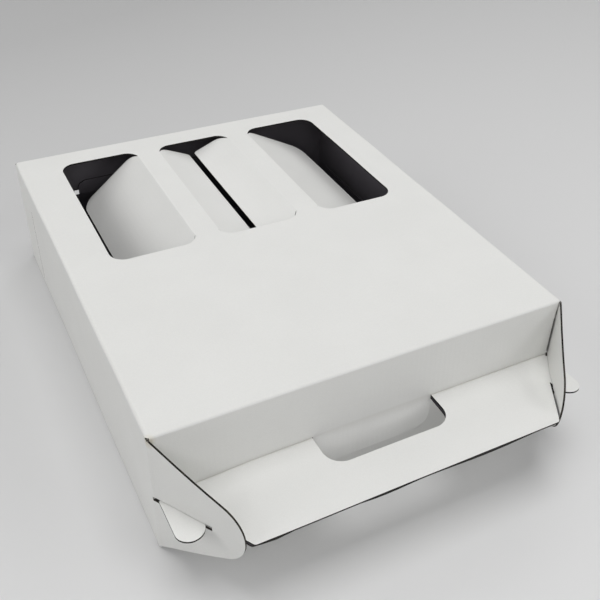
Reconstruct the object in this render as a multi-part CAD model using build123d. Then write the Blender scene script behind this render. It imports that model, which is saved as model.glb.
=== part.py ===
from build123d import *
import os
from math import atan2, cos, degrees, radians, sin, tan

# A one-piece folded carrier for three bottles, lying on its back panel.
# X runs across the bottles and Y from the handle end to the closed end.
# The back panel's outer face is Z = 0, and the origin is at the middle of the box.
# All sizes are in millimetres, and all angles in degrees.

# Outside of the folded carton
WIDTH = 258.0
LENGTH = 302.0
DEPTH = 85.0

# The board and how closely its layers lie together
BOARD = 1.1
FOLD_INSIDE_RADIUS = 0.5
PLY_GAP = 0.2
CUT_GAP = 0.3
PANEL_EDGE_GAP = 0.5

# Windows in the front panel, one for each bottle, a little to the right of its middle
WINDOW_LENGTH = 134.5
WINDOW_SIDE_MARGIN = 27.0
WINDOW_BAR = 16.5
WINDOWS_OFF_MIDDLE = 1.4
WINDOW_CORNER = 10.0
WINDOW_END_MARGIN = 19.3
CREASE_NOTCH = 2.5
CREASE_CORNER_EASE = 0.7
HALF_FLAP_CORNER = 2.0

# How far each window flap hangs below the front panel
LEFT_FLAP_ANGLE = 39.0
MIDDLE_LEFT_FLAP_ANGLE = 23.5
MIDDLE_RIGHT_FLAP_ANGLE = 21.5
RIGHT_FLAP_ANGLE = 27.3

# Handle panels, which stand out from the feet of two roof panels that lean outwards
HANDLE_LIFT = 3.2
ROOF_LEAN = 3.3
HANDLE_REACH = 48.7
HANDLE_CORNER = 2.0
BACK_HANDLE_SHORTER = 2.0
HANDLE_SIDE_GAP = 1.2
HAND_HOLE_WIDTH = 78.0
HAND_HOLE_REACH = 22.3
HAND_HOLE_CORNER = 11.0

# Ears on the side panels, and the handle's tabs that pass through their slots
LEFT_EAR_ANGLE = 30.8
RIGHT_EAR_ANGLE = 32.8
EAR_REACH = 57.4
EAR_TIP_RADIUS = 21.4
TAB_REACH = 37.0
TAB_WIDTH = 15.5
TAB_CORNER = 7.5
SLOT_END_GAP = 0.5
SLOT_SPARE_HEIGHT = 0.6

# Snap-lock closure: the upper panel, the two side flaps and the locking panel
UPPER_PANEL_LEG = 50.0
UPPER_PANEL_RECESS = 32.7
RECESS_WIDTH = 180.0
UPPER_PANEL_TAPER = 10.0
SIDE_FLAP_REACH = 38.0
SIDE_FLAP_TOP_SLOPE = 16.0
SIDE_FLAP_LOWER_SLOPE = 40.0
LOCKING_PANEL_HEIGHT = 46.5
LOCKING_PANEL_TAPER = 12.0
TONGUE_WIDTH = 171.0
TONGUE_ROOT = 6.0
TONGUE_BEND_START = 40.0
TONGUE_BEND_RISE = 9.5
TONGUE_TOP = 60.3
TONGUE_CORNER = 6.0

# Glued seam and the score across the left side panel
SEAM_FLAP_HEIGHT = 32.0
SEAM_FLAP_END_MARGIN = 6.0
SEAM_FLAP_TAPER = 8.0
SCORE_FROM_END = 39.0
SCORE_LOW = 5.0
SCORE_HIGH = 64.0
SCORE_WIDTH = 0.6
SCORE_DEEP = 0.4

# Values worked out from the sizes above
HALF_BOARD = BOARD / 2
PLY_STEP = BOARD + PLY_GAP
FOLD_MIDDLE_RADIUS = FOLD_INSIDE_RADIUS + HALF_BOARD
FOLD_OUTSIDE_RADIUS = FOLD_INSIDE_RADIUS + BOARD
HANDLE_END = -LENGTH / 2
HANDLE_FOLD = HANDLE_END - ROOF_LEAN
CLOSED_END = LENGTH / 2
HALF_WIDTH = WIDTH / 2
STRIP_WIDTH = WIDTH - 2 * (BOARD + PANEL_EDGE_GAP)
FRONT_MIDDLE = DEPTH - HALF_BOARD
HANDLE_MIDDLE = DEPTH / 2 + HANDLE_LIFT
FRONT_HANDLE_LEVEL = HANDLE_MIDDLE + PLY_GAP / 2 + HALF_BOARD
BACK_HANDLE_LEVEL = HANDLE_MIDDLE - PLY_GAP / 2 - HALF_BOARD
FRONT_ROOF_TOP = HANDLE_END + HALF_BOARD
FRONT_ROOF_FOOT = HANDLE_FOLD + HALF_BOARD
BACK_ROOF_BOTTOM = FRONT_ROOF_TOP + PLY_STEP
BACK_ROOF_FOOT = FRONT_ROOF_FOOT + PLY_STEP
ROOF_ANGLE = degrees(atan2(ROOF_LEAN, FRONT_MIDDLE - FRONT_HANDLE_LEVEL))
UPPER_PANEL_MIDDLE = CLOSED_END - HALF_BOARD
SIDE_FLAP_MIDDLE = UPPER_PANEL_MIDDLE + PLY_STEP
LOCKING_PANEL_MIDDLE = SIDE_FLAP_MIDDLE + PLY_STEP
TONGUE_MIDDLE = UPPER_PANEL_MIDDLE - PLY_STEP
WINDOW_WIDTH = (WIDTH - 2 * WINDOW_SIDE_MARGIN - 2 * WINDOW_BAR) / 3
WINDOW_PITCH = WINDOW_WIDTH + WINDOW_BAR
WINDOW_MIDDLE = CLOSED_END - WINDOW_END_MARGIN - WINDOW_LENGTH / 2
WINDOW_CREASE = WINDOW_LENGTH - 2 * WINDOW_CORNER
EAR_HINGE_X = HALF_WIDTH - HALF_BOARD
EAR_HINGE_HEIGHT = DEPTH - 2 * BOARD
SIDE_HEIGHT = DEPTH - 2 * FOLD_OUTSIDE_RADIUS
BEYOND = 5.0


def folded_board(points, width):
    """Board folded along (y, z) points on its middle plane, across the given width in X."""
    middle_line = FilletPolyline(*points, radius=FOLD_MIDDLE_RADIUS)
    section = trace(middle_line, BOARD)
    return extrude(Plane.YZ * section, width / 2, both=True)


def upright_prism(outline, low, high):
    """A flat XY outline raised from one level to another."""
    return Pos(0, 0, low) * extrude(outline, high - low)


def end_plane(middle):
    """The (x, z) plane at the given Y, which faces the handle end."""
    return Plane((0, middle, 0), x_dir=(1, 0, 0), z_dir=(0, -1, 0))


def end_plate(outline, middle, half_thickness=HALF_BOARD):
    """An (x, z) outline made solid to both sides of the given Y, one board thick as a rule."""
    return extrude(end_plane(middle) * outline, half_thickness, both=True)


def roof_plate(outline, behind):
    """An outline across and up the front roof panel from its foot, one board thick, set back behind it."""
    lean = radians(ROOF_ANGLE)
    foot = (0, FRONT_ROOF_FOOT + behind * cos(lean), FRONT_HANDLE_LEVEL - behind * sin(lean))
    plane = Plane(foot, x_dir=(1, 0, 0), z_dir=(0, -cos(lean), sin(lean)))
    return extrude(plane * outline, HALF_BOARD, both=True)


def both_sides(shape):
    """A shape together with its mirror image across the middle of the carton."""
    return shape + mirror(shape, Plane.YZ)


def tube():
    """The four long panels, with rounded folds between them."""
    outside = RectangleRounded(WIDTH, DEPTH, FOLD_OUTSIDE_RADIUS)
    inside = RectangleRounded(WIDTH - 2 * BOARD, DEPTH - 2 * BOARD, FOLD_INSIDE_RADIUS)
    section = Pos(0, DEPTH / 2) * (outside - inside)
    walls = end_plate(section, 0, LENGTH / 2 - FOLD_OUTSIDE_RADIUS)
    back_trim = Box(WIDTH, PLY_STEP, 2 * FOLD_OUTSIDE_RADIUS)
    return walls - Pos(0, HANDLE_END + FOLD_OUTSIDE_RADIUS + PLY_STEP / 2, 0) * back_trim


def side_end():
    """The stretch of the right side panel that runs on to the ear's crease."""
    reach = 2 * FOLD_OUTSIDE_RADIUS
    plate = Box(BOARD, reach, EAR_HINGE_HEIGHT)
    hollow = Cylinder(HALF_BOARD + CUT_GAP, DEPTH)
    plate = Pos(EAR_HINGE_X, HANDLE_END + reach / 2, DEPTH / 2) * plate
    return plate - Pos(EAR_HINGE_X, HANDLE_END, DEPTH / 2) * hollow


def hand_hole_waste(low, high):
    """What is cut from a handle panel and its fold, with both outer corners rounded."""
    reach = HAND_HOLE_REACH + ROOF_LEAN + BEYOND
    middle = HANDLE_FOLD - HAND_HOLE_REACH + reach / 2
    outline = Pos(0, middle) * Rectangle(HAND_HOLE_WIDTH, reach)
    outer_corners = outline.vertices().sort_by(Axis.Y)[:2]
    return upright_prism(fillet(outer_corners, HAND_HOLE_CORNER), low, high)


def hand_hole_tongue(behind, upwards):
    """The board cut out of a hand hole, which hangs or stands in line with the front roof panel."""
    root = 2 * FOLD_MIDDLE_RADIUS
    reach = HAND_HOLE_REACH - CUT_GAP
    outline = Pos(0, (root - reach) / 2) * Rectangle(HAND_HOLE_WIDTH - 2 * CUT_GAP, root + reach)
    free_corners = outline.vertices().sort_by(Axis.Y)[:2]
    outline = fillet(free_corners, HAND_HOLE_CORNER - CUT_GAP)
    if upwards:
        outline = Pos(0, -PLY_STEP) * mirror(outline, Plane.XZ)
    return roof_plate(outline, behind)


def handle_side(angle, reach):
    """(x, y) of a handle panel's wide and narrow corner, inside an ear folded by that angle."""
    slant = radians(angle)
    wide = EAR_HINGE_X - (HALF_BOARD + HANDLE_SIDE_GAP) / cos(slant)
    return [(wide, HANDLE_END), (wide - reach * tan(slant), HANDLE_END - reach)]


def strip_outline(reach):
    """A strip seen from above: its handle panel, cut back inside the folded ears, and the box's part."""
    left = [(-x, y) for x, y in handle_side(LEFT_EAR_ANGLE, reach)]
    right = handle_side(RIGHT_EAR_ANGLE, reach)
    handle = make_face(Polyline(left[0], left[1], right[1], right[0], close=True))
    handle = fillet(handle.vertices().sort_by(Axis.Y)[:2], HANDLE_CORNER)
    box_part = Pos(0, BEYOND) * Rectangle(WIDTH, LENGTH + 2 * BEYOND)
    return (handle + box_part) & Rectangle(STRIP_WIDTH, 3 * LENGTH)


def tab_outline():
    """The right tab, with its end an arc about the ear's crease so that the ear can swing over it."""
    disc = Pos(EAR_HINGE_X, HANDLE_END) * Circle(TAB_REACH)
    start = HANDLE_FOLD - FOLD_MIDDLE_RADIUS
    end = HANDLE_END - TAB_REACH
    middle_x = STRIP_WIDTH / 2 - TAB_WIDTH / 2
    outline = disc & Pos(middle_x, (start + end) / 2) * Rectangle(TAB_WIDTH, start - end)
    end_corners = [corner for corner in outline.vertices() if corner.Y < start - TAB_CORNER]
    return fillet(end_corners, TAB_CORNER)


def front_board():
    """Handle, roof, front and upper closing panels: one strip folded four times."""
    strip = folded_board([(HANDLE_FOLD - HANDLE_REACH, FRONT_HANDLE_LEVEL),
                          (FRONT_ROOF_FOOT, FRONT_HANDLE_LEVEL),
                          (FRONT_ROOF_TOP, FRONT_MIDDLE),
                          (UPPER_PANEL_MIDDLE, FRONT_MIDDLE),
                          (UPPER_PANEL_MIDDLE, DEPTH - UPPER_PANEL_LEG)], STRIP_WIDTH)
    strip = strip & upright_prism(strip_outline(ROOF_LEAN + HANDLE_REACH), -BEYOND, DEPTH + BEYOND)
    strip += upright_prism(both_sides(tab_outline()),
                           FRONT_HANDLE_LEVEL - HALF_BOARD, FRONT_HANDLE_LEVEL + HALF_BOARD)
    strip -= hand_hole_waste(FRONT_HANDLE_LEVEL - BOARD, FRONT_HANDLE_LEVEL + FOLD_MIDDLE_RADIUS)
    return strip + hand_hole_tongue(0, upwards=False) - upper_panel_waste()


def upper_panel_waste():
    """What is cut from the upper closing panel: the recess and the two slanted corners."""
    recess_top = DEPTH - UPPER_PANEL_RECESS
    leg_end = DEPTH - UPPER_PANEL_LEG
    height = recess_top - leg_end + BEYOND
    recess = Pos(0, recess_top - height / 2) * Rectangle(RECESS_WIDTH, height)
    outer = STRIP_WIDTH / 2
    slant = make_face(Polyline((outer - UPPER_PANEL_TAPER, leg_end), (outer, leg_end),
                               (outer, recess_top), close=True))
    return end_plate(recess + both_sides(slant), UPPER_PANEL_MIDDLE, BOARD)


def back_board():
    """Rear handle, rear roof, back and locking panels: one strip folded four times."""
    reach = HANDLE_REACH - BACK_HANDLE_SHORTER
    strip = folded_board([(HANDLE_FOLD - reach, BACK_HANDLE_LEVEL),
                          (BACK_ROOF_FOOT, BACK_HANDLE_LEVEL),
                          (BACK_ROOF_BOTTOM, HALF_BOARD),
                          (LOCKING_PANEL_MIDDLE, HALF_BOARD),
                          (LOCKING_PANEL_MIDDLE, LOCKING_PANEL_HEIGHT)], STRIP_WIDTH)
    strip = strip & upright_prism(strip_outline(ROOF_LEAN + reach), -BEYOND, DEPTH + BEYOND)
    strip -= hand_hole_waste(BACK_HANDLE_LEVEL - FOLD_MIDDLE_RADIUS, BACK_HANDLE_LEVEL + BOARD)
    strip += hand_hole_tongue(PLY_STEP, upwards=True)
    return strip - locking_panel_waste() + locking_tongue()


def locking_panel_waste():
    """What is cut from the locking panel: room for the bent tongue, and two slanted corners."""
    height = LOCKING_PANEL_HEIGHT - TONGUE_BEND_START + BEYOND
    room = Pos(0, TONGUE_BEND_START - HALF_BOARD + height / 2) * Rectangle(
        TONGUE_WIDTH + 2 * PLY_GAP, height)
    outer = STRIP_WIDTH / 2
    slant = make_face(Polyline((outer, FOLD_OUTSIDE_RADIUS), (outer, LOCKING_PANEL_HEIGHT),
                               (outer - LOCKING_PANEL_TAPER, LOCKING_PANEL_HEIGHT), close=True))
    return end_plate(room + both_sides(slant), LOCKING_PANEL_MIDDLE, BOARD)


def locking_tongue():
    """The locking panel's tongue, bent in through the recess and tucked behind the upper panel."""
    tongue = folded_board([(LOCKING_PANEL_MIDDLE, TONGUE_BEND_START - TONGUE_ROOT),
                           (LOCKING_PANEL_MIDDLE, TONGUE_BEND_START),
                           (TONGUE_MIDDLE, TONGUE_BEND_START + TONGUE_BEND_RISE),
                           (TONGUE_MIDDLE, TONGUE_TOP)], TONGUE_WIDTH)
    top_corners = tongue.edges().filter_by(Axis.Y).group_by(Axis.Z)[-1]
    return fillet(top_corners, TONGUE_CORNER)


def side_flap():
    """The right side flap of the closure, folded in between the upper and locking panels."""
    low = DEPTH / 2 - SIDE_HEIGHT / 2
    high = DEPTH / 2 + SIDE_HEIGHT / 2
    path = FilletPolyline((EAR_HINGE_X, CLOSED_END - BEYOND),
                          (EAR_HINGE_X, SIDE_FLAP_MIDDLE),
                          (EAR_HINGE_X - SIDE_FLAP_REACH, SIDE_FLAP_MIDDLE), radius=FOLD_MIDDLE_RADIUS)
    flap = upright_prism(trace(path, BOARD), low, high)
    inner = EAR_HINGE_X - SIDE_FLAP_REACH - BOARD
    outer = HALF_WIDTH - FOLD_OUTSIDE_RADIUS
    upper_slant = make_face(Polyline((outer, high), (inner, high),
                                     (inner, high - SIDE_FLAP_TOP_SLOPE), close=True))
    lower_slant = make_face(Polyline((outer, low), (inner, low),
                                     (inner, low + SIDE_FLAP_LOWER_SLOPE), close=True))
    return flap - end_plate(upper_slant + lower_slant, SIDE_FLAP_MIDDLE, BOARD)


def seam_flap():
    """The glue flap that runs up inside the right side panel from the back panel."""
    near = HANDLE_END + SEAM_FLAP_END_MARGIN
    far = CLOSED_END - SEAM_FLAP_END_MARGIN
    corners = [(near, HALF_BOARD), (near + SEAM_FLAP_TAPER, SEAM_FLAP_HEIGHT),
               (far - SEAM_FLAP_TAPER, SEAM_FLAP_HEIGHT), (far, HALF_BOARD)]
    face = Plane.YZ * make_face(Polyline(*corners, close=True))
    return Pos(HALF_WIDTH - 2 * BOARD, 0, 0) * extrude(face, BOARD)


def seam_cut():
    """The open line under the carton where the right side panel's edge meets the back panel."""
    line = Box(PLY_GAP, 2 * LENGTH, BOARD)
    return Pos(HALF_WIDTH - BOARD - PLY_GAP / 2, 0, 0) * line


def score_line():
    """The pressed line across the left side panel near the closed end."""
    line = Box(2 * SCORE_DEEP, SCORE_WIDTH, SCORE_HIGH - SCORE_LOW)
    return Pos(-HALF_WIDTH, CLOSED_END - SCORE_FROM_END, (SCORE_HIGH + SCORE_LOW) / 2) * line


def window_centres():
    """X of each window's middle, from left to right."""
    return [WINDOWS_OFF_MIDDLE + column * WINDOW_PITCH for column in (-1, 0, 1)]


def window_creases():
    """X of the four creases that the window flaps hang from, from left to right."""
    half = WINDOW_WIDTH / 2
    left, middle, right = window_centres()
    return [left + half, middle - half, middle + half, right - half]


def windows():
    """The three cut-outs in the front panel, with a hollow along each crease."""
    cuts = []
    for centre in window_centres():
        outline = RectangleRounded(WINDOW_WIDTH, WINDOW_LENGTH, WINDOW_CORNER)
        cuts.append(upright_prism(Pos(centre, WINDOW_MIDDLE) * outline, DEPTH - BEYOND, DEPTH + BEYOND))
    radius = HALF_BOARD + CUT_GAP
    length = WINDOW_CREASE + 2 * CREASE_NOTCH
    round_part = Cylinder(radius, length, rotation=(90, 0, 0))
    open_part = Pos(0, 0, -radius / 2) * Box(2 * radius, length, radius)
    for crease in window_creases():
        cuts.append(Pos(crease, WINDOW_MIDDLE, FRONT_MIDDLE) * (round_part + open_part))
    return cuts


def carton():
    """The whole folded blank, without the flaps and ears that swing."""
    blank = tube() + both_sides(side_end()) + both_sides(side_flap())
    blank = blank + front_board() + back_board() + seam_flap()
    for cut in windows():
        blank -= cut
    return blank - seam_cut() - score_line()


def window_flap(crease, towards, reach, free_corner, angle):
    """A window flap on its crease, swung down by an angle, pointing along +X or -X."""
    length = WINDOW_LENGTH - 2 * CUT_GAP
    outline = Pos((reach + CUT_GAP) / 2, 0) * Rectangle(reach - CUT_GAP, length)
    crease_corners = outline.vertices().group_by(Axis.X)[0]
    outline = fillet(crease_corners, WINDOW_CORNER - CUT_GAP + CREASE_CORNER_EASE)
    outline = fillet(outline.vertices().group_by(Axis.X)[-1], free_corner)
    plate = extrude(outline, HALF_BOARD, both=True)
    knuckle = Cylinder(HALF_BOARD, WINDOW_CREASE, rotation=(90, 0, 0))
    bridge = Pos(HALF_BOARD / 2, 0, 0) * Box(HALF_BOARD, WINDOW_CREASE, BOARD)
    flap = Rot(0, angle, 0) * (plate + knuckle + bridge)
    if towards < 0:
        flap = mirror(flap, Plane.YZ)
    return Pos(crease, WINDOW_MIDDLE, FRONT_MIDDLE) * flap


def right_ear(angle):
    """An ear on the right: a rounded wedge with a long slot, folded in over the handle's tab."""
    crease = Rectangle(2 * CUT_GAP, EAR_HINGE_HEIGHT)
    tip = Pos(EAR_REACH - EAR_TIP_RADIUS, HANDLE_LIFT) * Circle(EAR_TIP_RADIUS)
    outline = make_hull(crease.edges() + tip.edges())
    outline -= Pos(-BEYOND / 2, 0) * Rectangle(BEYOND, DEPTH)
    plate = extrude(outline, HALF_BOARD, both=True)
    knuckle = Cylinder(HALF_BOARD, EAR_HINGE_HEIGHT, rotation=(90, 0, 0))
    slot_height = 2 * BOARD + PLY_GAP + SLOT_SPARE_HEIGHT
    slot_length = HALF_BOARD + TAB_REACH + SLOT_END_GAP
    slot = Pos(slot_length / 2 - HALF_BOARD, HANDLE_LIFT, 0) * Box(slot_length, slot_height, 3 * BOARD)
    ear = plate + knuckle - slot
    turn = radians(angle)
    place = Plane((EAR_HINGE_X, HANDLE_END, DEPTH / 2),
                  x_dir=(-sin(turn), -cos(turn), 0), z_dir=(-cos(turn), sin(turn), 0))
    return place * ear


def build():
    """Every piece of the carrier under its own name."""
    creases = window_creases()
    wide_reach = WINDOW_WIDTH - CUT_GAP
    half_reach = (WINDOW_WIDTH - CUT_GAP) / 2
    wide_corner = WINDOW_CORNER - CUT_GAP
    return {
        "carton": carton(),
        "window_flap_left": window_flap(creases[0], -1, wide_reach, wide_corner, LEFT_FLAP_ANGLE),
        "window_flap_middle_left": window_flap(creases[1], 1, half_reach, HALF_FLAP_CORNER,
                                               MIDDLE_LEFT_FLAP_ANGLE),
        "window_flap_middle_right": window_flap(creases[2], -1, half_reach, HALF_FLAP_CORNER,
                                                MIDDLE_RIGHT_FLAP_ANGLE),
        "window_flap_right": window_flap(creases[3], 1, wide_reach, wide_corner, RIGHT_FLAP_ANGLE),
        "ear_left": mirror(right_ear(LEFT_EAR_ANGLE), Plane.YZ),
        "ear_right": right_ear(RIGHT_EAR_ANGLE),
    }


os.makedirs("parts", exist_ok=True)
for name, piece in build().items():
    export_step(piece, f"parts/{name}.step")
    print(name, "volume", round(piece.volume), "solids", len(piece.solids()))
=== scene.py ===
import math

import bmesh
import bpy
from mathutils import Matrix, Vector, noise
from mathutils.bvhtree import BVHTree


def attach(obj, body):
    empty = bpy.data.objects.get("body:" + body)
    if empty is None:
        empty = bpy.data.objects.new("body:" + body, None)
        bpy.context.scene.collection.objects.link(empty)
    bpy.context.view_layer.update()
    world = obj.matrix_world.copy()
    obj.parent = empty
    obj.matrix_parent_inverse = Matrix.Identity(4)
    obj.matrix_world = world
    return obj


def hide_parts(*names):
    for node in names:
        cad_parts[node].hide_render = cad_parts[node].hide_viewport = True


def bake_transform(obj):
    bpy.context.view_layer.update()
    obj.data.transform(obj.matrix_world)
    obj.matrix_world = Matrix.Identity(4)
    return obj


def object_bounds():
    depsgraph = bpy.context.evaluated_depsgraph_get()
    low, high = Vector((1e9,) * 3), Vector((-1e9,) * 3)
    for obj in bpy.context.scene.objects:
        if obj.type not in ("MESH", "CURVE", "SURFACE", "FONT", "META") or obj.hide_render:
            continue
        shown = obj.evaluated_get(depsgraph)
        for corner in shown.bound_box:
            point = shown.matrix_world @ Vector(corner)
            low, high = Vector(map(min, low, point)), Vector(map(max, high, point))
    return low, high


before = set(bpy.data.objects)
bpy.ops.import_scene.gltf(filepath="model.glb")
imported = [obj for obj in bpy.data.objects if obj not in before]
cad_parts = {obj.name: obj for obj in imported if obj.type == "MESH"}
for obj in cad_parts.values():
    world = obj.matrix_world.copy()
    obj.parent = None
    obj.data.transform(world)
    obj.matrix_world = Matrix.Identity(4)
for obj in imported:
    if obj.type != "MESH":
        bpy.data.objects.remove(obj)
cad_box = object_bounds()

# Lengths are in metres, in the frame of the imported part.
MM = 0.001

# Camera, fitted to the photograph on six of the box's corners and the outlines of handle, tabs and ears
CAMERA_PLACE = Vector((-0.19048, -0.41711, 0.37723))
CAMERA_FORWARD = Vector((0.37279, 0.6965, -0.61312))
CAMERA_ROLL = math.radians(2.06)
FOCAL_PIXELS = 810.3
IMAGE_PIXELS = 600.0
SENSOR_WIDTH = 36.0
NEAREST_SEEN = 0.01
FURTHEST_SEEN = 50.0

# Soft square lamps, all aimed at the box: place and power in watts
LAMP_SIZE = 1.2
LAMPS = {
    "top": ((0.0, 0.0, 2.0), 16.9),
    "left": ((-1.7, 0.0, 1.0), 8.1),
    "camera_side": ((-0.7, -1.5, 1.1), 6.9),
    "front_right": ((1.2, -1.2, 1.1), 9.4),
    "back_left": ((-1.2, 1.2, 1.1), 5.4),
    "back_right": ((1.2, 1.2, 1.1), 6.3),
}
SURROUND = 0.1
FLOOR_HALF_WIDTH = 3.0

# Painted light and shade on the floor: it grows a little lighter along this direction, between two distances
# from the box, darker far to the left and lighter towards the near right
FLOOR_PAINTED_LIGHT_DIRECTION = (0.37, -0.93, 0.0)
FLOOR_PAINTED_SHADE_END = (-0.6, 0.53)
FLOOR_PAINTED_LIGHT_END = (0.35, 0.77)

# The folded box, as the part gives it
BOX_HALF_WIDTH = cad_box[1][0]
BOARD = 1.1 * MM
HANDLE_LEVEL = 45.7 * MM
SIDE_BAND = 2.4 * MM
SIDE_FLAP_LAYER = (151.1 * MM, 152.4 * MM)
SIDE_FLAP_INNER = 88.0 * MM
SEAM_FLAP_TOP = 32.0 * MM
CORNER_CENTRE = (127.4 * MM, -149.4 * MM, 83.4 * MM)
CORNER_RADIUS = 1.6 * MM
EAR_CREASE_X = 128.45 * MM
EAR_CREASE_Y = -151.0 * MM
EAR_CREASE_LOW = 1.1 * MM
EAR_CREASE_HIGH = {"left": 81.7 * MM, "right": 83.9 * MM}
EAR_ANGLES = {"left": math.radians(30.8), "right": math.radians(32.8)}
EAR_SLOT_HALF_HEIGHT = 1.5 * MM
WINDOW_MIDDLE = 64.45 * MM
WINDOW_CREASE_LENGTH = 114.5 * MM
WINDOW_CREASE_HEIGHT = 84.45 * MM
WINDOW_CREASES = {
    "left": (-43.6 * MM, -1, math.radians(39.0)),
    "middle_left": (-27.1 * MM, 1, math.radians(23.5)),
    "middle_right": (29.9 * MM, -1, math.radians(21.5)),
    "right": (46.4 * MM, 1, math.radians(27.3)),
}

# The handle sags near the ears' creases, where the slots hold it down: at the crease, a little away from
# it, and what share of that is left along the fold at the roof's foot
DIP_AT_CREASE = {"left": 5.0 * MM, "right": 0.8 * MM}
DIP_DEEPEST = {"left": 3.5 * MM, "right": 3.0 * MM}
DIP_ALONG_FOLD = {"left": 0.5, "right": 0.0}
DIP_FULL_UP_TO = 0.6
DIP_CORE = 18.0 * MM
DIP_RADIUS = 62.0 * MM
DIP_HEIGHT = 39.3 * MM

# Pressed lines in the white side: the fold at the roof's foot, and a second score on the handle
FOLD_PLACE = (-154.36 * MM, 47.05 * MM)
FOLD_DEPTH = 0.42 * MM
FOLD_HALF_WIDTH = 0.25 * MM
# Half width of the painted shade that darkens the board along the fold at the roof's foot
FOLD_SHADE_HALF_WIDTH = 0.45 * MM
HANDLE_TOP = 46.9 * MM
SCORE_Y = -157.0 * MM
SCORE_DEPTH = 0.12 * MM
SCORE_HALF_WIDTH = 0.25 * MM
SCORE_CUTS_EACH_SIDE = 2

# The locking tongue's left edge presses outwards above its bend
TONGUE_EDGE = (-86 * MM, -84 * MM)
TONGUE_LAYER = (148.4 * MM, 153.4 * MM)
TONGUE_PRESS_LEVELS = (39 * MM, 62 * MM)
TONGUE_PRESS_RISE = 2.5 * MM
TONGUE_PRESS = 1.0 * MM

# The rear handle panel lies a little further right than the front one, beyond this place
REAR_PANEL_LEVELS = (44.4 * MM, 45.7 * MM)
REAR_PANEL_SHIFT = 0.9 * MM
REAR_PANEL_SHIFT_FROM = Vector((90 * MM, -165 * MM))
REAR_PANEL_SHIFT_RUN = 12 * MM
# Where it gapes below the other one: the place and radius, how far it hangs lower and reaches further out,
# at the hand hole, at the left corner, and twice along the front edge
REAR_PANEL_GAPES = [
    (Vector((39 * MM, -166 * MM)), 14 * MM, 0.8 * MM, 0),
    (Vector((-84 * MM, -203 * MM)), 14 * MM, 0.9 * MM, 1.4 * MM),
    (Vector((-22 * MM, -203 * MM)), 22 * MM, 0.7 * MM, 1.3 * MM),
    (Vector((45 * MM, -203 * MM)), 42 * MM, 0.9 * MM, 1.5 * MM),
]

# How far down each corner cap reaches. The left corner is worn: it stands open further down, with raw fibres
# round it. The right cap stops short of the ear.
CORNER_CLOSED_DOWN_TO = {"left": math.radians(45), "right": math.radians(68)}
WORN_CORNER = (-127.8 * MM, -151.3 * MM, 82.9 * MM)
WORN_RADIUS = 4.2 * MM

# How the board is dressed
GRID_STEP = 7.0 * MM
BROAD_FACE_DEPTH = 2.6 * MM
WAVE_HEIGHT = 0.3 * MM
WAVE_LENGTH = 90.0 * MM
WAVE_FLAT_BELOW = 12.0 * MM
WAVE_STILL_RADIUS = 8.0 * MM
WAVE_SEED = 1
FLUTE_PITCH = 3.3
FLUTE_SWING = 0.3
LINER_LIFT = 0.02 * MM
LINER_THICKNESS = 0.04 * MM
LINER_OVERLAP = 1.6 * MM
LINER_FLAP_OVERLAP = 2.5 * MM
LINER_PAST_CREASE = 2.45 * MM
LINER_PAST_CREASE_ON_PANEL = 2.75 * MM
LINER_PAST_CREASE_ON_FLAP = 5.8 * MM
LINER_STEPS = 10
CORNER_STEPS = 8
CORNER_FIRST_TILT = math.radians(2)

# How close counts as the same place, when meshes are joined, cut and looked through
SAME_POINT = 0.001 * MM
ON_PLANE = 0.01 * MM
JUST_INSIDE = 0.02 * MM
ON_HANDLE_TOP = 0.04 * MM

# Shading stays smooth across turns up to these angles
BOARD_SHARP_ANGLE = math.radians(35)
PAPER_SHARP_ANGLE = math.radians(50)

# The three materials of a dressed piece, in their order on it
WHITE, BLACK, CUT = range(3)

# Roughness of each surface
WHITE_ROUGHNESS = 0.65
BLACK_ROUGHNESS = 0.6
CUT_ROUGHNESS = 0.9
FLOOR_ROUGHNESS = 0.8

# The liners' relief: how strongly the flutes show beside the fibres, and the bump's depth and strength
WASHBOARD_SHARE = 0.25
RELIEF_DEPTH = 0.06 * MM
RELIEF_STRENGTH = 0.35

# Light and dark tones of the liners, and the fibres' and blotches' waves a metre
WHITE_TONES = ((0.80, 0.80, 0.78), (0.78, 0.78, 0.76))
BLACK_TONES = ((0.125, 0.116, 0.130), (0.105, 0.097, 0.110))
FIBRE_WAVES = 1500
BLOTCH_WAVES = 28
FIBRE_SHADE = (0.965, 0.965, 0.965)
# Painted shade: the liners darken towards this tone along the fold at the roof's foot
FOLD_SHADE_TONE = (0.86, 0.85, 0.83)
RAW_FIBRE_TONE = (0.90, 0.86, 0.78)
PLAIN = (1, 1, 1)

# The cut edge: the flute's paper, painted shade in the hollows beside it, and the two liners as multiples of
# these
FLUTE_PAPER = (0.020, 0.015, 0.010)
FLUTE_HOLLOW_SHADE = (0.006, 0.005, 0.004)
WHITE_LINER_EDGE = (6, 6, 6)
BLACK_LINER_EDGE = (0.5, 0.5, 0.6)


def make_camera():
    """The camera at the photograph's viewing angle."""
    data = bpy.data.cameras.new("camera")
    data.sensor_fit = "HORIZONTAL"
    data.sensor_width = SENSOR_WIDTH
    data.lens = SENSOR_WIDTH * FOCAL_PIXELS / IMAGE_PIXELS
    data.clip_start = NEAREST_SEEN
    data.clip_end = FURTHEST_SEEN
    camera = bpy.data.objects.new("camera", data)
    bpy.context.scene.collection.objects.link(camera)
    forward = CAMERA_FORWARD.normalized()
    level_right = forward.cross(Vector((0, 0, 1))).normalized()
    level_up = level_right.cross(forward)
    right = level_right * math.cos(CAMERA_ROLL) + level_up * math.sin(CAMERA_ROLL)
    up = right.cross(forward)
    turn = Matrix((right, up, -forward)).transposed()
    camera.matrix_world = Matrix.Translation(CAMERA_PLACE) @ turn.to_4x4()
    bpy.context.scene.camera = camera


def new_material(name, roughness):
    """A material with its node tree and its main shader."""
    material = bpy.data.materials.new(name)
    material.use_nodes = True
    tree = material.node_tree
    shader = tree.nodes["Principled BSDF"]
    shader.inputs["Roughness"].default_value = roughness
    return material, tree, shader


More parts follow.
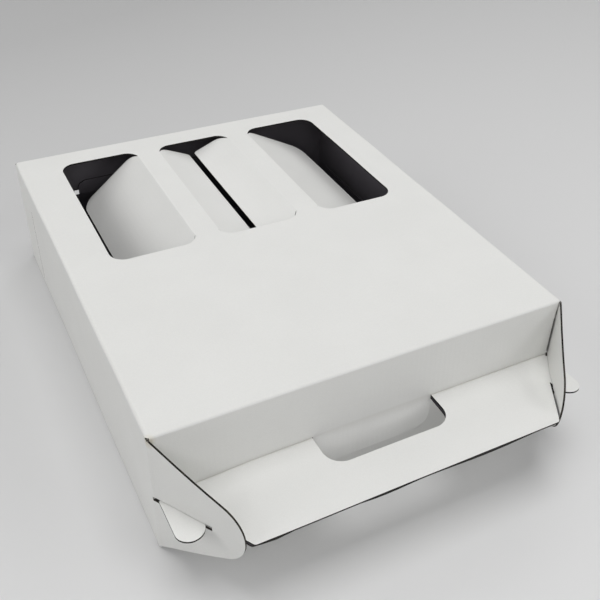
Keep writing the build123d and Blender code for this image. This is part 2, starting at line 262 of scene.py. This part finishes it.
def noise_value(tree, place, scale, detail):
    """A noise texture's value over a place, with its scale in waves a metre."""
    node = tree.nodes.new("ShaderNodeTexNoise")
    node.inputs["Scale"].default_value = scale
    node.inputs["Detail"].default_value = detail
    tree.links.new(place, node.inputs["Vector"])
    return node.outputs["Fac"]


def calculate(tree, operation, first, second=0.0):
    """One math node of two inputs, each a number or another node's output."""
    node = tree.nodes.new("ShaderNodeMath")
    node.operation = operation
    for socket, value in zip(node.inputs, (first, second)):
        if isinstance(value, (int, float)):
            socket.default_value = value
        else:
            tree.links.new(value, socket)
    return node.outputs["Value"]


def colour_steps(tree, value, steps):
    """A colour ramp over a value, from (position, colour) steps."""
    node = tree.nodes.new("ShaderNodeValToRGB")
    elements = node.color_ramp.elements
    while len(elements) < len(steps):
        elements.new(0.5)
    for element, (position, colour) in zip(elements, steps):
        element.position = position
        element.color = (*colour, 1)
    tree.links.new(value, node.inputs["Fac"])
    return node.outputs["Color"]


def multiply_colours(tree, first, second):
    """Two colours multiplied."""
    node = tree.nodes.new("ShaderNodeMix")
    node.data_type = "RGBA"
    node.blend_type = "MULTIPLY"
    node.inputs["Factor"].default_value = 1.0
    tree.links.new(first, node.inputs["A"])
    tree.links.new(second, node.inputs["B"])
    return node.outputs["Result"]


def add_bump(tree, shader, height, distance, strength):
    """Gives a shader a bump from a height value."""
    node = tree.nodes.new("ShaderNodeBump")
    node.inputs["Strength"].default_value = strength
    node.inputs["Distance"].default_value = distance
    tree.links.new(height, node.inputs["Height"])
    tree.links.new(node.outputs["Normal"], shader.inputs["Normal"])


def board_coordinates(tree):
    """Millimetres across the flutes, millimetres down from the white face, and how much painted shade lies
    along the fold at the roof's foot.
    """
    node = tree.nodes.new("ShaderNodeAttribute")
    node.attribute_name = "board"
    split = tree.nodes.new("ShaderNodeSeparateXYZ")
    tree.links.new(node.outputs["Vector"], split.inputs["Vector"])
    return split.outputs["X"], split.outputs["Y"], split.outputs["Z"]


def flute_wave(tree, across):
    """A wave from -1 to 1 that repeats with the flutes."""
    return calculate(tree, "SINE", calculate(tree, "MULTIPLY", across, 2 * math.pi / FLUTE_PITCH))


def worn_corner(tree, place):
    """The colour of raw fibres round the box's worn corner, white away from it."""
    away = tree.nodes.new("ShaderNodeVectorMath")
    away.operation = "DISTANCE"
    tree.links.new(place, away.inputs[0])
    away.inputs[1].default_value = WORN_CORNER
    share = calculate(tree, "DIVIDE", away.outputs["Value"], WORN_RADIUS)
    return colour_steps(tree, share, [(0.3, RAW_FIBRE_TONE), (1, PLAIN)])


def liner(name, tones, roughness):
    """A paper liner: fine fibres, soft blotches, painted shade along the fold at the roof's foot, and the
    flutes showing faintly through.
    """
    material, tree, shader = new_material(name, roughness)
    place = tree.nodes.new("ShaderNodeTexCoord").outputs["Object"]
    fibres = noise_value(tree, place, FIBRE_WAVES, 5)
    blotches = noise_value(tree, place, BLOTCH_WAVES, 3)
    light, dark = tones
    tint = colour_steps(tree, blotches, [(0.3, dark), (0.7, light)])
    grain = colour_steps(tree, fibres, [(0.3, FIBRE_SHADE), (0.7, PLAIN)])
    across, _, fold_shade_share = board_coordinates(tree)
    # Painted shade along the fold at the roof's foot
    painted_fold_shade = colour_steps(tree, fold_shade_share, [(0, PLAIN), (1, FOLD_SHADE_TONE)])
    paper = multiply_colours(tree, multiply_colours(tree, tint, grain), worn_corner(tree, place))
    tree.links.new(multiply_colours(tree, paper, painted_fold_shade), shader.inputs["Base Color"])
    washboard = calculate(tree, "MULTIPLY", flute_wave(tree, across), WASHBOARD_SHARE)
    height = calculate(tree, "ADD", fibres, washboard)
    add_bump(tree, shader, height, RELIEF_DEPTH, RELIEF_STRENGTH)
    return material


def cut_edge():
    """The dark cut edge of fluted board: two thin liners with a dull brown wave between them, and painted
    shade in the hollows beside the wave.
    """
    material, tree, shader = new_material("cut_edge", CUT_ROUGHNESS)
    across, through, _ = board_coordinates(tree)
    thickness = BOARD / MM
    wave = calculate(tree, "MULTIPLY", flute_wave(tree, across), FLUTE_SWING)
    middle = calculate(tree, "ADD", wave, thickness / 2)
    off_wave = calculate(tree, "ABSOLUTE", calculate(tree, "SUBTRACT", through, middle))
    # The flute's paper on the wave, and painted shade in the hollows away from it
    inside = colour_steps(tree, off_wave, [(0.10, FLUTE_PAPER), (0.18, FLUTE_HOLLOW_SHADE)])
    layers = colour_steps(tree, calculate(tree, "DIVIDE", through, thickness),
                          [(0.05, WHITE_LINER_EDGE), (0.09, PLAIN), (0.88, PLAIN), (0.93, BLACK_LINER_EDGE)])
    tree.links.new(multiply_colours(tree, inside, layers), shader.inputs["Base Color"])
    return material


def is_side(centre):
    """Whether a point lies in a side panel, an ear or a side flap, whose flutes stack up in Z."""
    near_side = abs(centre.x) > BOX_HALF_WIDTH - SIDE_BAND
    in_flap = SIDE_FLAP_LAYER[0] < centre.y < SIDE_FLAP_LAYER[1] and abs(centre.x) > SIDE_FLAP_INNER
    return near_side or in_flap


def is_white_on_carton(centre, normal):
    """Whether a broad face of the carton is the white outside of the blank."""
    outwards = normal.x * math.copysign(1, centre.x)
    outwards += normal.y * math.copysign(1, centre.y)
    outwards += normal.z * math.copysign(1, centre.z - HANDLE_LEVEL)
    return outwards > 0


def is_white_on_flap(centre, normal):
    """Whether a broad face of a window flap is its white upper side."""
    return normal.z > 0


def is_white_on_ear(centre, normal):
    """Both sides of an ear are white."""
    return True


def sort_faces(mesh, is_white):
    """Splits a CAD mesh's faces into white, black and cut ones by how thick the board is under each."""
    tree = BVHTree.FromBMesh(mesh)
    kinds = []
    for face in mesh.faces:
        centre = face.calc_center_median()
        start = centre - face.normal * JUST_INSIDE
        hit = tree.ray_cast(start, -face.normal, BROAD_FACE_DEPTH)
        if hit[0] is None:
            kinds.append(CUT)
        else:
            kinds.append(WHITE if is_white(centre, face.normal) else BLACK)
    return kinds


def is_seam_edge(face):
    """Whether a face is the glued seam flap's upper edge, as dark as the inside around it."""
    centre = face.calc_center_median()
    inside = BOX_HALF_WIDTH - SIDE_BAND < centre.x < BOX_HALF_WIDTH - BOARD
    return inside and abs(centre.z - SEAM_FLAP_TOP) < BOARD


def smooth_step(value):
    """A smooth rise from 0 to 1 as a value goes from 0 to 1."""
    share = min(max(value, 0.0), 1.0)
    return share * share * (3 - 2 * share)


def settled(point):
    """Where a point of the exact box lies once the board is slightly wavy and the handle's ends sag."""
    offset = noise.noise_vector(point / WAVE_LENGTH) * WAVE_HEIGHT
    offset.z *= smooth_step(point.z / WAVE_FLAT_BELOW)
    side = "left" if point.x < 0 else "right"
    away = math.hypot(abs(point.x) - EAR_CREASE_X, point.y - EAR_CREASE_Y)
    offset *= smooth_step((away - WAVE_STILL_RADIUS) / WAVE_STILL_RADIUS)
    near = DIP_AT_CREASE[side]
    dip = near + (DIP_DEEPEST[side] - near) * smooth_step(away / DIP_CORE)
    dip *= 1 - smooth_step((away - DIP_CORE) / (DIP_RADIUS - DIP_CORE))
    inwards = (EAR_CREASE_X - abs(point.x)) / max(away, MM)
    dip *= 1 - (1 - DIP_ALONG_FOLD[side]) * smooth_step((inwards - DIP_FULL_UP_TO) / (1 - DIP_FULL_UP_TO))
    offset.z -= dip * max(0, 1 - abs(point.z - HANDLE_LEVEL) / DIP_HEIGHT)
    return point + offset


def pressed(point):
    """A point of the exact carton, moved in at the pressed lines and with the rear handle panel."""
    moved = point.copy()
    from_fold = math.hypot(point.y - FOLD_PLACE[0], point.z - FOLD_PLACE[1]) / FOLD_HALF_WIDTH
    depth = FOLD_DEPTH * math.exp(-from_fold ** 2) * math.sqrt(0.5)
    moved.y += depth
    moved.z -= depth
    if abs(point.z - HANDLE_TOP) < ON_HANDLE_TOP:
        from_score = (point.y - SCORE_Y) / SCORE_HALF_WIDTH
        moved.z -= SCORE_DEPTH * math.exp(-from_score ** 2)
    if REAR_PANEL_LEVELS[0] < point.z < REAR_PANEL_LEVELS[1]:
        right = smooth_step((point.x - REAR_PANEL_SHIFT_FROM.x) / REAR_PANEL_SHIFT_RUN)
        outwards = smooth_step((REAR_PANEL_SHIFT_FROM.y - point.y) / REAR_PANEL_SHIFT_RUN)
        moved.x += REAR_PANEL_SHIFT * right * outwards
        for place, radius, gape, reach in REAR_PANEL_GAPES:
            share = math.exp(-((point.xy - place).length / radius) ** 2)
            moved.z -= gape * share
            moved.y -= reach * share
    at_tongue = TONGUE_EDGE[0] < point.x < TONGUE_EDGE[1] and TONGUE_LAYER[0] < point.y < TONGUE_LAYER[1]
    if at_tongue and TONGUE_PRESS_LEVELS[0] < point.z < TONGUE_PRESS_LEVELS[1]:
        moved.x -= TONGUE_PRESS * smooth_step((point.z - TONGUE_PRESS_LEVELS[0]) / TONGUE_PRESS_RISE)
    return moved


def dress(node_name, piece_name, body, is_white, side_everywhere, materials):
    """A finely divided copy of a CAD node, with its faces sorted into liners and cut edges."""
    mesh = bmesh.new()
    mesh.from_mesh(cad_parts[node_name].data)
    bmesh.ops.remove_doubles(mesh, verts=mesh.verts, dist=SAME_POINT)
    mesh.normal_update()
    for face, kind in zip(mesh.faces, sort_faces(mesh, is_white)):
        face.material_index = BLACK if is_seam_edge(face) else kind
    cut_into_grid(mesh)
    if node_name == "carton":
        for step in range(-SCORE_CUTS_EACH_SIDE, SCORE_CUTS_EACH_SIDE + 1):
            cut_by_plane(mesh, Vector((0, SCORE_Y + step * SCORE_HALF_WIDTH, 0)), Vector((0, 1, 0)))
    paint_coordinates(mesh, side_everywhere)
    for vertex in mesh.verts:
        exact = pressed(vertex.co) if node_name == "carton" else vertex.co
        vertex.co = settled(exact)
    data = bpy.data.meshes.new(piece_name)
    mesh.to_mesh(data)
    mesh.free()
    piece = bpy.data.objects.new(piece_name, data)
    bpy.context.scene.collection.objects.link(piece)
    for material in materials:
        data.materials.append(material)
    data.shade_smooth()
    data.set_sharp_from_angle(angle=BOARD_SHARP_ANGLE)
    even = piece.modifiers.new("even_shading", "WEIGHTED_NORMAL")
    even.keep_sharp = True
    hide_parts(node_name)
    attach(piece, body)


def cut_by_plane(mesh, place, direction):
    """Cuts all faces of a mesh along one plane."""
    everything = mesh.verts[:] + mesh.edges[:] + mesh.faces[:]
    bmesh.ops.bisect_plane(mesh, geom=everything, dist=ON_PLANE, plane_co=place, plane_no=direction)


def cut_into_grid(mesh):
    """Cuts a mesh by evenly spaced planes along all three axes."""
    for axis in range(3):
        low = min(vertex.co[axis] for vertex in mesh.verts)
        high = max(vertex.co[axis] for vertex in mesh.verts)
        direction = Vector((0, 0, 0))
        direction[axis] = 1
        for step in range(math.ceil(low / GRID_STEP), math.floor(high / GRID_STEP) + 1):
            cut_by_plane(mesh, direction * step * GRID_STEP, direction)


def paint_coordinates(mesh, side_everywhere):
    """Stores the board's coordinates at each face corner: across, down from the white face, and the share of
    painted shade along the fold at the roof's foot.
    """
    layer = mesh.loops.layers.float_vector.new("board")
    points = []
    polygons = []
    for face in mesh.faces:
        if face.material_index == WHITE:
            polygons.append(list(range(len(points), len(points) + len(face.verts))))
            points.extend(vertex.co for vertex in face.verts)
    surface = BVHTree.FromPolygons(points, polygons)
    for face in mesh.faces:
        side = side_everywhere or is_side(face.calc_center_median())
        for loop in face.loops:
            place = loop.vert.co
            across = place.z if side else place.x
            through = 0.0
            if face.material_index == CUT:
                through = min(surface.find_nearest(place)[3], BOARD)
            # The share of painted shade, highest on the fold at the roof's foot
            from_fold = math.hypot(place.y - FOLD_PLACE[0], place.z - FOLD_PLACE[1]) / FOLD_SHADE_HALF_WIDTH
            loop[layer] = (across / MM, through / MM, math.exp(-from_fold ** 2))


def thin_sheet(name, front_rows, back_rows, material):
    """A closed thin paper sheet between two grids of points."""
    mesh = bmesh.new()
    front = [[mesh.verts.new(settled(point)) for point in row] for row in front_rows]
    back = [[mesh.verts.new(settled(point)) for point in row] for row in back_rows]
    last_row = len(front) - 1
    last = len(front[0]) - 1
    for row in range(last_row):
        for place in range(last):
            for side in (front, back):
                mesh.faces.new((side[row][place], side[row + 1][place],
                                side[row + 1][place + 1], side[row][place + 1]))
        for place in (0, last):
            mesh.faces.new((front[row][place], front[row + 1][place], back[row + 1][place], back[row][place]))
    for row in (0, last_row):
        for place in range(last):
            mesh.faces.new((front[row][place], front[row][place + 1], back[row][place + 1], back[row][place]))
    bmesh.ops.recalc_face_normals(mesh, faces=mesh.faces[:])
    data = bpy.data.meshes.new(name)
    mesh.to_mesh(data)
    mesh.free()
    data.shade_smooth()
    data.set_sharp_from_angle(angle=PAPER_SHARP_ANGLE)
    data.materials.append(material)
    sheet = bpy.data.objects.new(name, data)
    bpy.context.scene.collection.objects.link(sheet)
    return sheet


def liner_strip(name, rows, outwards, material):
    """A thin paper strip through rows of points, each row a line across it."""
    back_rows = [[point - away * LINER_THICKNESS for point in row] for row, away in zip(rows, outwards)]
    return thin_sheet(name, rows, back_rows, material)


def corner_cap(side, material):
    """The white liner rounded over the corner between the front panel, the roof and a side panel."""
    outside = -1 if side == "left" else 1
    centre = Vector((outside * CORNER_CENTRE[0], CORNER_CENTRE[1], CORNER_CENTRE[2]))
    front_rows = []
    back_rows = []
    for tilt in evenly(CORNER_FIRST_TILT, CORNER_CLOSED_DOWN_TO[side], CORNER_STEPS):
        around = evenly(0, math.radians(90), CORNER_STEPS)
        directions = [Vector((outside * math.sin(tilt) * math.cos(turn),
                              -math.sin(tilt) * math.sin(turn), math.cos(tilt))) for turn in around]
        front_rows.append([centre + direction * (CORNER_RADIUS + LINER_LIFT) for direction in directions])
        back_rows.append([centre + direction * (CORNER_RADIUS - LINER_THICKNESS) for direction in directions])
    cap = thin_sheet("corner_liner_" + side, front_rows, back_rows, material)
    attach(cap, "carton")


def bend_profile(first, second, turn, moving_overlap):
    """Points and outward directions of a strip over a crease at the origin, round by an angle.

    first is the fixed panel's outward direction, and second points from the crease to what moves."""
    radius = BOARD / 2 + LINER_LIFT + LINER_THICKNESS
    back = -second
    points = [first * radius + back * LINER_OVERLAP]
    outwards = [first]
    for step in range(LINER_STEPS + 1):
        angle = turn * step / LINER_STEPS
        outward = first * math.cos(angle) + second * math.sin(angle)
        points.append(outward * radius)
        outwards.append(outward)
    along = second * math.cos(turn) - first * math.sin(turn)
    points.append(outwards[-1] * radius + along * moving_overlap)
    outwards.append(outwards[-1])
    return points, outwards


def evenly(low, high, count):
    """Evenly spaced values from low to high, with so many steps."""
    return [low + (high - low) * step / count for step in range(count + 1)]


def window_crease_liner(flap, material):
    """The white liner over a window flap's crease."""
    x, towards, turn = WINDOW_CREASES[flap]
    points, outwards = bend_profile(Vector((0, 0, 1)), Vector((towards, 0, 0)), turn, LINER_FLAP_OVERLAP)
    past_crease = [LINER_PAST_CREASE] * len(points)
    past_crease[0] = LINER_PAST_CREASE_ON_PANEL
    past_crease[-1] = LINER_PAST_CREASE_ON_FLAP
    count = math.ceil(WINDOW_CREASE_LENGTH / GRID_STEP)
    rows = []
    for point, past in zip(points, past_crease):
        half = WINDOW_CREASE_LENGTH / 2 + past
        places = evenly(WINDOW_MIDDLE - half, WINDOW_MIDDLE + half, count)
        rows.append([Vector((x, place, WINDOW_CREASE_HEIGHT)) + point for place in places])
    strip = liner_strip("crease_liner_" + flap, rows, outwards, material)
    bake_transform(strip)


def ear_crease_liner(side, name, low, high, material):
    """The white liner round an ear's crease, on the outside, from one height to another."""
    outside = Vector((-1 if side == "left" else 1, 0, 0))
    points, outwards = bend_profile(outside, Vector((0, -1, 0)), EAR_ANGLES[side], LINER_OVERLAP)
    crease = Vector((outside.x * EAR_CREASE_X, EAR_CREASE_Y, 0))
    heights = evenly(low, high, math.ceil((high - low) / GRID_STEP))
    rows = [[crease + point + Vector((0, 0, height)) for height in heights] for point in points]
    strip = liner_strip(name, rows, outwards, material)
    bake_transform(strip)


def make_floor():
    """The pale surface that the box lies on, with painted light: darker far to the left, lighter towards the
    near right.
    """
    mesh = bpy.data.meshes.new("floor")
    half = FLOOR_HALF_WIDTH
    corners = [(-half, -half, 0), (half, -half, 0), (half, half, 0), (-half, half, 0)]
    mesh.from_pydata(corners, [], [(0, 1, 2, 3)])
    floor = bpy.data.objects.new("floor", mesh)
    bpy.context.scene.collection.objects.link(floor)
    material, tree, shader = new_material("floor", FLOOR_ROUGHNESS)
    along = tree.nodes.new("ShaderNodeVectorMath")
    along.operation = "DOT_PRODUCT"
    along.inputs[1].default_value = FLOOR_PAINTED_LIGHT_DIRECTION
    tree.links.new(tree.nodes.new("ShaderNodeTexCoord").outputs["Object"], along.inputs[0])
    run = FLOOR_PAINTED_LIGHT_END[0] - FLOOR_PAINTED_SHADE_END[0]
    from_dark = calculate(tree, "SUBTRACT", along.outputs["Value"], FLOOR_PAINTED_SHADE_END[0])
    # Painted light: the floor's colour grows lighter along the direction
    painted_floor_light = colour_steps(tree, calculate(tree, "DIVIDE", from_dark, run),
                        [(0, (FLOOR_PAINTED_SHADE_END[1],) * 3), (1, (FLOOR_PAINTED_LIGHT_END[1],) * 3)])
    tree.links.new(painted_floor_light, shader.inputs["Base Color"])
    mesh.materials.append(material)


def make_lamp(name, place, power):
    """A soft square lamp that shines on the box."""
    data = bpy.data.lights.new(name, "AREA")
    data.shape = "SQUARE"
    data.size = LAMP_SIZE
    data.energy = power
    lamp = bpy.data.objects.new(name, data)
    bpy.context.scene.collection.objects.link(lamp)
    lamp.location = place
    lamp.rotation_mode = "QUATERNION"
    lamp.rotation_quaternion = (-Vector(place)).to_track_quat("-Z", "Y")


def make_surround(strength):
    """An even, faint white surround."""
    world = bpy.data.worlds.new("world")
    world.use_nodes = True
    background = world.node_tree.nodes["Background"]
    background.inputs["Color"].default_value = (1, 1, 1, 1)
    background.inputs["Strength"].default_value = strength
    bpy.context.scene.world = world


make_camera()
make_floor()
for name, (place, power) in LAMPS.items():
    make_lamp(name, place, power)
make_surround(SURROUND)
bpy.context.scene.view_settings.view_transform = "Standard"

noise.seed_set(WAVE_SEED)
white = liner("white_liner", WHITE_TONES, WHITE_ROUGHNESS)
black = liner("black_liner", BLACK_TONES, BLACK_ROUGHNESS)
edge = cut_edge()
board_materials = [white, black, edge]
dress("carton", "folded_carton", "carton", is_white_on_carton, False, board_materials)
for flap in ("left", "middle_left", "middle_right", "right"):
    name = "window_flap_" + flap
    dress(name, name + "_board", name, is_white_on_flap, False, board_materials)
    window_crease_liner(flap, white)
for side in ("left", "right"):
    name = "ear_" + side
    dress(name, name + "_board", name, is_white_on_ear, True, board_materials)
    corner_cap(side, white)
    slot_low = HANDLE_LEVEL - EAR_SLOT_HALF_HEIGHT
    slot_high = HANDLE_LEVEL + EAR_SLOT_HALF_HEIGHT
    ear_crease_liner(side, "crease_liner_below_slot_" + side, EAR_CREASE_LOW, slot_low, white)
    ear_crease_liner(side, "crease_liner_above_slot_" + side, slot_high, EAR_CREASE_HIGH[side], white)
